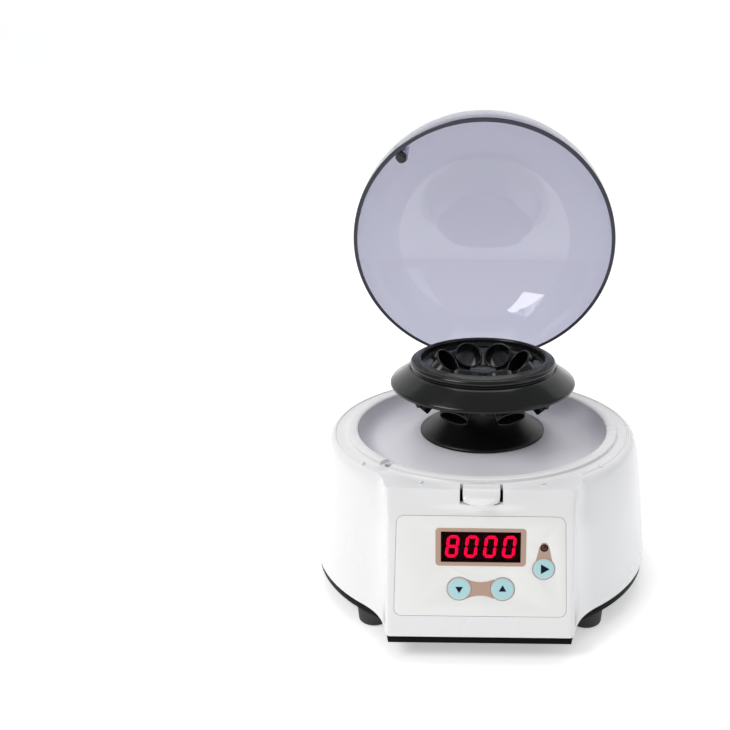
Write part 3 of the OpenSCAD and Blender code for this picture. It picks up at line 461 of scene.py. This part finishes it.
def housing_skin(s):
    """The housing's skin, ledge, ring and inner wall as one spun profile, drawn out to the console."""
    rows = [12, 12.2, 12.5, 13] + [14 + 1.2 * i for i in range(44)]
    rows += [66.5, 67.5, 68.4, 69, 69.5, 69.9, 70.2, 70.5, 70.7, 70.85, 71]
    g = s.groove_depth / MM
    rim = [(67.2, LEDGE_Z), (66.95, LEDGE_Z - g), (66.3, LEDGE_Z - g), (66.05, LEDGE_Z), (62.4, LEDGE_Z),
           (61.95, 71.12), (RING_R, 71.4), (RING_R, 72.05), (61.55, 72.36), (61.25, RING_Z), (58.1, RING_Z),
           (57.6, 72.42), (57.15, 72.1), (BOWL_R, 71.7), (BOWL_R, 67.4), (59.2, 67.4), (59.2, 68.5), (66, 68.5)]
    inner = [(body_radius(z) - WALL, z) for z in (67, 64, 60, 56, 50, 44, 38, 32, 26, 20, 16, 12)]
    bm = spun([(body_radius(z), z) for z in rows] + rim + inner, steps=480)
    for v in bm.verts:
        r, t = math.hypot(v.co.x, v.co.y), math.atan2(v.co.x, -v.co.y)
        turn = t - 0.45 * math.sin(t)     # closer rows of faces at the front, where the console is
        if r > 63 and v.co.z < LEDGE_Z - 0.02:
            r += skin_radius(turn, v.co.z, s) - body_radius(v.co.z)
        v.co.x, v.co.y = r * math.sin(turn), -r * math.cos(turn)
    return bm


def side_profile(points, half_width):
    """A bar across the machine with the given outline in (Y, Z)."""
    bm = plate(points, -half_width, half_width)
    return moved(bm, Matrix(((0, 0, 1, 0), (1, 0, 0, 0), (0, 1, 0, 0), (0, 0, 0, 1))))


def arc(centre, radius, start, end, steps):
    turns = [math.radians(start + (end - start) * i / steps) for i in range(steps + 1)]
    return [(centre[0] + radius * math.cos(a), centre[1] + radius * math.sin(a)) for a in turns]


def film_outline(grow):
    low, high = 9 - grow, 50.6 + grow
    return [(-34.8 - grow, low), (34.8 + grow, low), (33.3 + grow, high), (-33.3 - grow, high)]


def hinge_block():
    line = [(67, 48), (73.6, 48.5), (80.6, 57.2), (81.4, 60)] + arc((76, 67), 5.4, 0, 180, 16) + [(67, 67)]
    return eased(side_profile(line, 20), 0.7, 50, 3)


def body_cuts():
    """What is cut out of the housing, in passes that don't overlap themselves."""
    keys = [(START, 4.4), (DOWN, 4.8), (UP, 4.8)]
    yield moved(plate(film_outline(0.15), -0.6, 4, 3.1), FACE)
    window = block((-16.2, WINDOW_V - 7.4, -8), (16.2, WINDOW_V + 7.4, 3), FACE)
    lamp = rod(1.75, -8, 3, FACE @ Matrix.Translation((*LAMP, 0)))
    pockets = [rod(r + 0.3, -1.2, 3, FACE @ Matrix.Translation((*at, 0))) for at, r in keys]
    tongue = block((-TONGUE_HALF - TONGUE_SLOT, -CONSOLE_Y - 4, 66.05), (TONGUE_HALF + TONGUE_SLOT, -61.9, 80))
    notch = block((-4, -3, LEDGE_Z), (7, 3, 80), around(STRIKER_TURN, BOWL_R))
    pocket = eased(block((-12.3, 70.8, 58.9), (12.3, 95, 85)), 0.6, 50, 3)
    vents = [eased(block((-4, -1, 20), (12, 1, 42), around(180 + a, REAR_R)), 0.45, 50)
             for a in (-14, -7, 0, 7, 14)]
    inlet = eased(block((0, -6, REAR_Z - 6), (14, 6, REAR_Z + 6), around(INLET_TURN, REAR_R)), 0.8, 50, 3)
    rocker = eased(block((0, -8, REAR_Z - 11), (14, 8, REAR_Z + 11), around(ROCKER_TURN, REAR_R)), 0.8, 50, 3)
    yield together(window, lamp, *pockets, tongue, notch, pocket, *vents, inlet, rocker)
    stems = [rod(1.8, -12, 3, FACE @ Matrix.Translation((*at, 0))) for at, _ in keys]
    out = Matrix.Rotation(math.radians(90), 4, "Y")
    jack = rod(4.6, -12, 12, around(INLET_TURN, REAR_R, REAR_Z) @ out)
    switch = block((-12, -6.5, REAR_Z - 9.5), (12, 6.5, REAR_Z + 9.5), around(ROCKER_TURN, REAR_R))
    striker = rod(2.0, 55, 80, around(STRIKER_TURN, STRIKER_R))
    pin = rod(1.52, -22, 22, Matrix.Translation(HINGE) @ out)
    yield together(*stems, jack, switch, striker, pin)


def make_housing(s, finishes):
    pads = [block((-2, -8, REAR_Z - 8), (5.6, 8, REAR_Z + 8), around(INLET_TURN, REAR_R)),
            block((-2, -10, REAR_Z - 13), (5.6, 10, REAR_Z + 13), around(ROCKER_TURN, REAR_R))]
    ribs = [eased(rod(0.9, LEDGE_Z - 1, LEDGE_Z + 0.9, around(a, 66.4), 24), 0.25)
            for a in (-48.5, -21.5, 21.5, 48.5)]
    bm = joined(housing_skin(s), hinge_block(), together(*pads), together(*ribs))
    bm = cut(bm, *body_cuts())
    return piece("housing", bm, "case", "white_abs", [finishes["shell"]], ["upper_housing"], 32)


def make_deck(finishes):
    floor = [(12, 69.4), (28, 69.4), (30.5, 69.36), (33, 68.95), (38, 67.5), (43, 66.1), (46.5, 65.25),
             (49, 64.85)]
    wall = arc((49.9, 71.8), 7, -88, 0, 14)
    under = [(56.9, 67.8), (53, 63.2), (50, 62.6), (45, 62.6), (34.6, 66.3), (28.6, 67.2), (12, 67.2)]
    bm = spun(floor + wall + under, 160)
    holes = [rod(1.75, 60, 75, around(a, 21), 24) for a in (90, 210, 330)]
    return piece("bowl", cut(bm, together(*holes)), "case", "deck_grey", [finishes["bowl"]], ["bowl_deck"], 45)


def make_shroud(finishes):
    flare = [(17.6 + 11.0 * (1 - i / 24) ** 2.2, 70.6 + 13.0 * i / 24) for i in range(25)]
    outer = [(28.35, 69.42), (28.6, 69.6), (28.6, 70.3), (28.5, 70.5)] + flare[1:] + [(17.5, 83.8), (17.2, 84.0)]
    inner = [(16.6, 84.0), (16.3, 83.8)] + [(r - 1.6, z - 0.7) for r, z in reversed(flare[1:])]
    inner += [(27, 69.9), (27, 69.42)]
    return piece("motor_cowl", spun(outer + inner, 128), "case", "black_abs", [finishes["shroud"]],
                 ["motor_shroud"], 40)


def make_latch(finishes):
    """Spring tongue: a stretch of the ledge that runs down into a rounded lip."""
    line = [(61.6, 70.99), (66.6, 70.97), (67.5, 70.75), (68.2, 70.25), (68.9, 69.4), (69.7, 68.7), (70.8, 68.1),
            (72.2, 67.75), (73.2, 67.5), (73.65, 67.2), (73.7, 66.9), (73.4, 66.66), (69.4, 66.62), (68.2, 67.0),
            (65.1, 68.5), (61.6, 68.6)]
    half, root, lip_start, lip_curve = TONGUE_HALF, 62.05, 69, 0.73
    bm = bmesh.new()
    start = chain(bm, line, True)
    bmesh.ops.rotate(bm, cent=(0, 0, 0), matrix=Matrix.Rotation(math.radians(-100), 3, "Z"), verts=bm.verts)
    bmesh.ops.spin(bm, geom=start, cent=(0, 0, 0), axis=(0, 0, 1), angle=math.radians(20), steps=40)
    bmesh.ops.recalc_face_normals(bm, faces=bm.faces)
    planes = [((side * half, 0, 0), (side, 0, 0)) for side in (-1, 1)]
    planes += [((0, -root, 0), (0, 1, 0))]
    for point, away in planes:
        trimmed = bmesh.ops.bisect_plane(bm, geom=bm.verts[:] + bm.edges[:] + bm.faces[:], dist=1e-4,
                                         plane_co=point, plane_no=away, clear_outer=True)
        rims = [e for e in trimmed["geom_cut"] if isinstance(e, bmesh.types.BMEdge)]
        bmesh.ops.holes_fill(bm, edges=rims, sides=0)
    for v in tidy(bm).verts:
        reach = math.hypot(v.co.x, v.co.y)
        if reach > lip_start:     # the lip is curved when seen from above
            drawn = lip_start + (reach - lip_start) * (1 - lip_curve * (v.co.x / half) ** 2)
            v.co.x, v.co.y = v.co.x * drawn / reach, v.co.y * drawn / reach
    return piece("latch", eased(bm, 0.22, 50), "latch", "white_abs", [finishes["shell"]], ["latch_tongue"], 40)


def dome_line(radius, height, low, steps=44):
    """Half outline of the dome, from its apex down to its rim."""
    curve = []
    for i in range(steps + 1):
        a = math.radians(90 * (1 - i / steps))
        curve.append((radius * max(math.cos(a), 0) ** 0.9756, low + 2.5 + (height - 2.5) * math.sin(a) ** 0.9756))
    curve[0] = (0, curve[0][1])
    return curve


def make_lid(s, finishes):
    r, h, wall = s.rim_radius / MM, s.dome_height / MM, s.wall / MM
    outer = spun(dome_line(r, h, LID_Z) + [(r, LID_Z + 0.25), (r - 0.25, LID_Z), (0, LID_Z)], 160, closed=False)
    inner = spun(dome_line(r - wall, h - wall, LID_Z) + [(r - wall, LID_Z - 3), (0, LID_Z - 3)], 160, closed=False)
    arm = side_profile([(60, 71.3), (71.0, 71.3), (71.7, 70.6)] + arc((76, 67), 4, 180, 410, 18)
                       + [(70, 74.8), (63.5, 77.2), (60, 77.2)], 12)
    heel = block((-12, 76, 65.8), (12, 83.8, 68.2))
    bm = joined(outer, eased(arm, 0.4, 50), heel)
    boss = rod(3.0, 73.7, 86, around(STRIKER_TURN, STRIKER_R))
    bm = joined(cut(bm, inner), cut(boss, rod(1.63, 70, 78.7, around(STRIKER_TURN, STRIKER_R))))
    bm = cut(bm, rod(1.55, -22, 22, Matrix.Translation(HINGE) @ Matrix.Rotation(math.radians(90), 4, "Y")))
    # The rim's bottom annulus takes the second finish, a painted shade: opaque near-black standing in for the
    # darkening seen along the clear wall's edge.
    for face in bm.faces:
        c = face.calc_center_median()
        reach = math.hypot(c.x, c.y)
        face.material_index = int(c.z < LID_Z + 0.3 and r - wall - 0.05 < reach < r + 0.05)
    bmesh.ops.rotate(bm, cent=HINGE, matrix=Matrix.Rotation(-s.swing, 3, "X"), verts=bm.verts)
    return piece("lid", bm, "lid", "clear_violet", [finishes["lid"], finishes["lid_rim_painted_shade"]], ["dome_lid"], 40)


def make_rotor(s, finishes):
    crest, skirt, bore = s.crest_radius / MM, s.skirt_radius / MM, s.bore_radius / MM
    rolled = arc((crest + 1.75, 102.15), 1.6, -50, 95, 10) + arc((crest - 0.5, 103.9), 1.1, 60, 190, 10)
    top = [(crest - 1.75, 102.4), (crest - 2.1, 101.6), (crest - 2.8, 101.3), (22.8, 101.5), (21.6, 101.0),
           (9.4, 91.9), (8.2, 92.5), (7.4, 92.6), (4.05, 92.6)]
    under = [(4.05, 85.4), (8, 85.4), (12, 85.9), (22.6, 98), (crest - 1, 99), (skirt - 2.6, 92.7),
             (skirt - 2.0, 92.5), (skirt - 0.8, 92.5), (skirt - 0.25, 92.7), (skirt, 93.2), (skirt - 0.1, 93.9),
             (skirt - 0.5, 94.45)]
    slope = [(crest + 4.9, 99.35), (crest + 4.3, 99.9), (crest + 3.4, 100.25), (crest + 2.9, 100.5)]
    bm = spun(under + slope + rolled + top, 192)
    tilt = Matrix.Translation((17.6, 0, 100)) @ Matrix.Rotation(math.radians(135), 4, "Y")
    places = [Matrix.Rotation(math.radians(45 * (i + 0.5)), 4, "Z") @ tilt for i in range(8)]
    bm = cut(bm, *[rod(bore + 0.45, -14, 34, at) for at in places])
    lip = s.lip / MM
    out = 6.55
    middle, round_r = (bore + out) / 2, (out - bore) / 2
    tube = [(bore, 20 - lip), (bore, lip - 0.6)] + arc((middle, lip - 0.6), round_r, 180, 360, 8)[1:-1]
    tube += [(out, lip - 0.6), (out, 20 - lip)] + arc((middle, 20 - lip), round_r, 0, 180, 8)[1:-1]
    parts = [bm]
    for at in places:
        parts.append(moved(spun(tube, 56), at))
    for i in range(8):
        tooth = plate([(-3.6, 2), (3.6, 2), (0.5, -2.5), (-0.5, -2.5)], 0, 3)
        stand = Matrix.Rotation(math.radians(45 * i), 4, "Z") @ Matrix.Translation((36.3, 0, 92.5)) \
            @ Matrix(((0, 0, 1, 0), (1, 0, 0, 0), (0, 1, 0, 0), (0, 0, 0, 1)))
        parts.append(moved(eased(tooth, 0.25, 50), stand))
    return piece("tube_rotor", together(*parts), "rotor", "rotor_black", [finishes["rotor"]], ["rotor_body"], 38)


def make_console(s, finishes):
    """Keypad film, what is printed on it, and the keys."""
    ring = s.key_ring / MM
    keys = [("start", START, s.start_radius / MM), ("down", DOWN, s.key_radius / MM),
            ("up", UP, s.key_radius / MM)]
    film = plate(film_outline(0), -0.5, 0, 3)
    holes = [block((-15.9, WINDOW_V - 6.3, -2), (15.9, WINDOW_V + 6.3, 2)),
             rod(1.7, -2, 2, Matrix.Translation((*LAMP, 0)))]
    holes += [rod(r + 0.2, -2, 2, Matrix.Translation((*at, 0)), 96) for _, at, r in keys]
    film = eased(cut(film, together(*holes)), 0.1, 60)
    piece("keypad_film", moved(film, FACE), "case", "overlay", [finishes["film"]], ["keypad_overlay"], 30)

    band = s.frame_band / MM
    frame_plate = plate([(x * (15.8 + band), WINDOW_V + y * (6.2 + 0.72 * band))
                         for x, y in ((-1, -1), (1, -1), (1, 1), (-1, 1))], 0.005, 0.07, 1.5)
    frame_plate = cut(frame_plate, block((-15.9, WINDOW_V - 6.3, -2), (15.9, WINDOW_V + 6.3, 2)))
    waist = [(x, 2.85 + 1.25 * (x / 5.4) ** 2) for x in [-5.4 + 10.8 * i / 12 for i in range(13)]]
    link = plate([(x, UP[1] - y) for x, y in waist] + [(x, UP[1] + y) for x, y in reversed(waist)], 0.005, 0.06)
    link = cut(link, together(*[rod(r + 0.12, -2, 2, Matrix.Translation((*at, 0)), 96) for _, at, r in keys[1:]]))
    wedge = plate([(START[0] - 3.6, START[1] + 2), (START[0] + 3.6, START[1] + 2), (LAMP[0] + 1.9, LAMP[1] + 0.4),
                   (LAMP[0] + 0.9, LAMP[1] + 2.1), (LAMP[0] - 0.9, LAMP[1] + 2.1), (LAMP[0] - 1.9, LAMP[1] + 0.4)],
                  0.005, 0.06, 0.5, 3)
    wedge = cut(wedge, together(rod(keys[0][2] + 0.12, -2, 2, Matrix.Translation((*START, 0)), 96),
                                rod(1.62, -2, 2, Matrix.Translation((*LAMP, 0)), 48)))
    prints = together(frame_plate, link, wedge)
    piece("console_print", moved(prints, FACE), "case", "tan_print", [finishes["tan"]], ["display_frame"], 30)

    for name, at, r in keys:
        place = FACE @ Matrix.Translation((*at, 0))
        cap = spun([(0, 0.345), (r - ring - 0.7, 0.345), (r - ring - 0.25, 0.31), (r - ring, 0.24),
                    (r - 0.2, 0.14), (r - 0.05, 0.08), (r, -0.02), (r, -0.5), (0, -0.5)], 72, closed=False)
        for face in cap.faces:
            centre = face.calc_center_median()
            face.material_index = int(math.hypot(centre.x, centre.y) > r - ring)
        body = moved(together(cap, rod(1.5, -6.0, -0.45, segments=32)), place)
        piece(name + "_button", body, name + "_button", "cyan_key", [finishes["key"], finishes["ring"]],
              [name + "_key"], 40)


def make_stage():
    """Pale floor that sweeps up behind, soft lights and the camera."""
    scene = bpy.context.scene
    bm = bmesh.new()
    line = [(-4000, 0), (1500, 0)] + arc((1500, 900), 900, -90, 0, 16)[1:] + [(2400, 4000)]
    verts = [bm.verts.new((-5000, y, z)) for y, z in line]
    edges = [bm.edges.new(pair) for pair in zip(verts, verts[1:])]
    grown = bmesh.ops.extrude_edge_only(bm, edges=edges)["geom"]
    bmesh.ops.translate(bm, vec=(10000, 0, 0), verts=[v for v in grown if isinstance(v, bmesh.types.BMVert)])
    bmesh.ops.scale(bm, vec=(MM, MM, MM), verts=bm.verts)
    mesh = bpy.data.meshes.new("floor")
    bmesh.ops.recalc_face_normals(bm, faces=bm.faces)
    bm.to_mesh(mesh)
    bm.free()
    mesh.shade_smooth()
    floor = bpy.data.objects.new("floor", mesh)
    scene.collection.objects.link(floor)
    paper = Finish("paper", (0.93, 0.93, 0.93), 0.9, Emission_Strength=0.42)
    paper.shader.inputs["Emission Color"].default_value = (1, 1, 1, 1)
    paper.mottle(paper.noise(3, 3), 0.99)
    mesh.materials.append(paper.material)

    world = bpy.data.worlds.new("studio")
    scene.world = world
    world.use_nodes = True
    sky = world.node_tree.nodes["Background"]
    sky.inputs["Color"].default_value = (0.97, 0.98, 1.0, 1)
    sky.inputs["Strength"].default_value = 0.44
    for name, place, aim, size, power, tint in LIGHTS:
        light = bpy.data.lights.new(name, "AREA")
        light.shape, light.size, light.size_y = "RECTANGLE", size[0], size[1]
        light.energy, light.color = power, tint
        obj = bpy.data.objects.new(name, light)
        obj.location = place
        obj.rotation_euler = (Vector(aim) - Vector(place)).to_track_quat("-Z", "Y").to_euler()
        scene.collection.objects.link(obj)

    camera = bpy.data.cameras.new("camera")
    camera.lens, camera.sensor_width = CAMERA_LENS, 36
    camera.shift_x, camera.shift_y = CAMERA_SHIFT
    camera.clip_start, camera.clip_end = 0.01, 50
    eye = bpy.data.objects.new("camera", camera)
    eye.location = CAMERA_PLACE
    look = (Vector(CAMERA_AIM) - eye.location).to_track_quat("-Z", "Y").to_matrix().to_4x4()
    eye.rotation_euler = (look @ Matrix.Rotation(math.radians(CAMERA_ROLL), 4, "Z")).to_euler()
    scene.collection.objects.link(eye)
    scene.camera = eye
    scene.view_settings.view_transform = "Standard"


# Name, place, aim, size, power and tint of each light
LIGHTS = [
    ("key_softbox", (-0.75, -0.55, 0.95), (0, 0, 0.06), (0.55, 0.55), 6.4, (1.0, 0.99, 0.98)),
    ("fill_softbox", (0.95, -0.35, 0.6), (0, 0, 0.06), (0.5, 0.8), 0.8, (0.97, 0.98, 1.0)),
    ("top_softbox", (0.0, 0.3, 1.2), (0, 0, 0.06), (0.9, 0.6), 3.2, (1.0, 1.0, 1.0)),
]

CAMERA_PLACE, CAMERA_AIM = (0, -0.3757, 0.2212), (0, 0, 0.05)
CAMERA_LENS, CAMERA_SHIFT, CAMERA_ROLL = 42.95, (-0.160, 0.140), 0.7

# Finish of each CAD node that shows, or would show with the machine open
KEPT = {
    "foot_screws": "steel", "case_screws": "steel", "hinge_pin": "steel", "shroud_screws": "steel",
    "motor_plate": "steel", "rubber_mounts": "rubber", "mount_screws": "steel", "motor_can": "steel",
    "motor_end_cap": "black", "motor_terminals": "brass", "motor_bearings": "brass", "motor_magnets": "magnet",
    "motor_screws": "steel", "display_window": "window", "display_digits": "glow", "display_module": "black",
    "display_board": "board", "key_switches": "black", "status_lamp": "lamp", "display_screws": "steel",
    "main_board": "board", "capacitors": "can", "power_transistor": "aluminium", "wire_headers": "cream",
    "board_screws": "steel", "lid_switch": "black", "wiring": "lead_red", "start_mark": "ink", "down_mark": "ink",
    "up_mark": "ink", "switch_plunger": "cream", "inlet_pin": "brass", "motor_shaft": "steel",
    "armature": "copper", "drive_hub": "brass",
}
# CAD nodes whose edges are rounded: body, slot, finish and rounding in mm
SOFTENED = {
    "base_tray": ("case", "black_abs", "black", 0.5), "rubber_feet": ("case", "rubber", "rubber", 0.35),
    "power_inlet": ("case", "part_black", "black", 0.2), "rocker_switch": ("case", "part_black", "black", 0.3),
    "power_rocker": ("rocker", "part_black", "black", 0.35), "lid_striker": ("lid", "rubber", "rubber", 0.25),
    "rotor_nut": ("rotor", "rotor_black", "rotor", 0.2),
}


# ---- operators ----
store = {}


def finishes():
    """The finishes, made once from the scene's colours."""
    if not store:
        store.update(make_finishes(bpy.context.scene.centrifuge_colours))
    return store


class CENTRIFUGE_OT_stage(bpy.types.Operator):
    """Make the floor, the lights and the camera"""
    bl_idname = "centrifuge.stage"
    bl_label = "Stage"

    def execute(self, context):
        make_stage()
        return {"FINISHED"}


class CENTRIFUGE_OT_housing(bpy.types.Operator):
    """Make the white housing with its console"""
    bl_idname = "centrifuge.housing"
    bl_label = "Housing"

    def execute(self, context):
        make_housing(context.scene.centrifuge_housing, finishes())
        return {"FINISHED"}


class CENTRIFUGE_OT_latch(bpy.types.Operator):
    """Make the spring tongue that holds the lid"""
    bl_idname = "centrifuge.latch"
    bl_label = "Latch tongue"

    def execute(self, context):
        make_latch(finishes())
        return {"FINISHED"}


class CENTRIFUGE_OT_bowl(bpy.types.Operator):
    """Make the bowl's floor and the cowl over the motor"""
    bl_idname = "centrifuge.bowl"
    bl_label = "Bowl and cowl"

    def execute(self, context):
        make_deck(finishes())
        make_shroud(finishes())
        return {"FINISHED"}


class CENTRIFUGE_OT_rotor(bpy.types.Operator):
    """Make the tube rotor"""
    bl_idname = "centrifuge.rotor"
    bl_label = "Rotor"

    def execute(self, context):
        make_rotor(context.scene.centrifuge_rotor, finishes())
        return {"FINISHED"}


class CENTRIFUGE_OT_lid(bpy.types.Operator):
    """Make the clear dome lid"""
    bl_idname = "centrifuge.lid"
    bl_label = "Lid"

    def execute(self, context):
        make_lid(context.scene.centrifuge_lid, finishes())
        return {"FINISHED"}


class CENTRIFUGE_OT_console(bpy.types.Operator):
    """Make the keypad film, its prints and its keys"""
    bl_idname = "centrifuge.console"
    bl_label = "Console"

    def execute(self, context):
        make_console(context.scene.centrifuge_console, finishes())
        return {"FINISHED"}


class CENTRIFUGE_OT_fittings(bpy.types.Operator):
    """Finish the tray, feet, rear fittings, fasteners and inner parts"""
    bl_idname = "centrifuge.fittings"
    bl_label = "Fittings"

    def execute(self, context):
        made = finishes()
        for node, name in KEPT.items():
            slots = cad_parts[node].data.materials
            slots.clear()
            slots.append(made[name])
        for node, (body, slot, name, width) in SOFTENED.items():
            softened(node, body, slot, made[name], width)
        return {"FINISHED"}


class CENTRIFUGE_PT_panel(bpy.types.Panel):
    """Lists the pieces and their sizes"""
    bl_label = "Mini centrifuge"
    bl_idname = "CENTRIFUGE_PT_panel"
    bl_space_type = "VIEW_3D"
    bl_region_type = "UI"
    bl_category = "Centrifuge"

    def draw(self, context):
        for operator in OPERATORS:
            self.layout.operator(operator.bl_idname)
        for name in GROUPS:
            box = self.layout.box()
            group = getattr(context.scene, name)
            for prop in group.__annotations__:
                box.prop(group, prop)


GROUPS = {"centrifuge_housing": HousingSizes, "centrifuge_lid": LidSizes, "centrifuge_rotor": RotorSizes,
          "centrifuge_console": ConsoleSizes, "centrifuge_colours": FinishColours}
OPERATORS = [CENTRIFUGE_OT_stage, CENTRIFUGE_OT_housing, CENTRIFUGE_OT_latch, CENTRIFUGE_OT_bowl,
             CENTRIFUGE_OT_rotor, CENTRIFUGE_OT_lid, CENTRIFUGE_OT_console, CENTRIFUGE_OT_fittings]


def register():
    for cls in [*GROUPS.values(), *OPERATORS, CENTRIFUGE_PT_panel]:
        bpy.utils.register_class(cls)
    for name, group in GROUPS.items():
        setattr(bpy.types.Scene, name, bpy.props.PointerProperty(type=group))


def unregister():
    for name in GROUPS:
        delattr(bpy.types.Scene, name)
    for cls in reversed([*GROUPS.values(), *OPERATORS, CENTRIFUGE_PT_panel]):
        bpy.utils.unregister_class(cls)


def main():
    register()
    for operator in OPERATORS:
        getattr(bpy.ops.centrifuge, operator.bl_idname.split(".")[1])()
    bpy.context.view_layer.update()


if __name__ == "__main__":
    main()
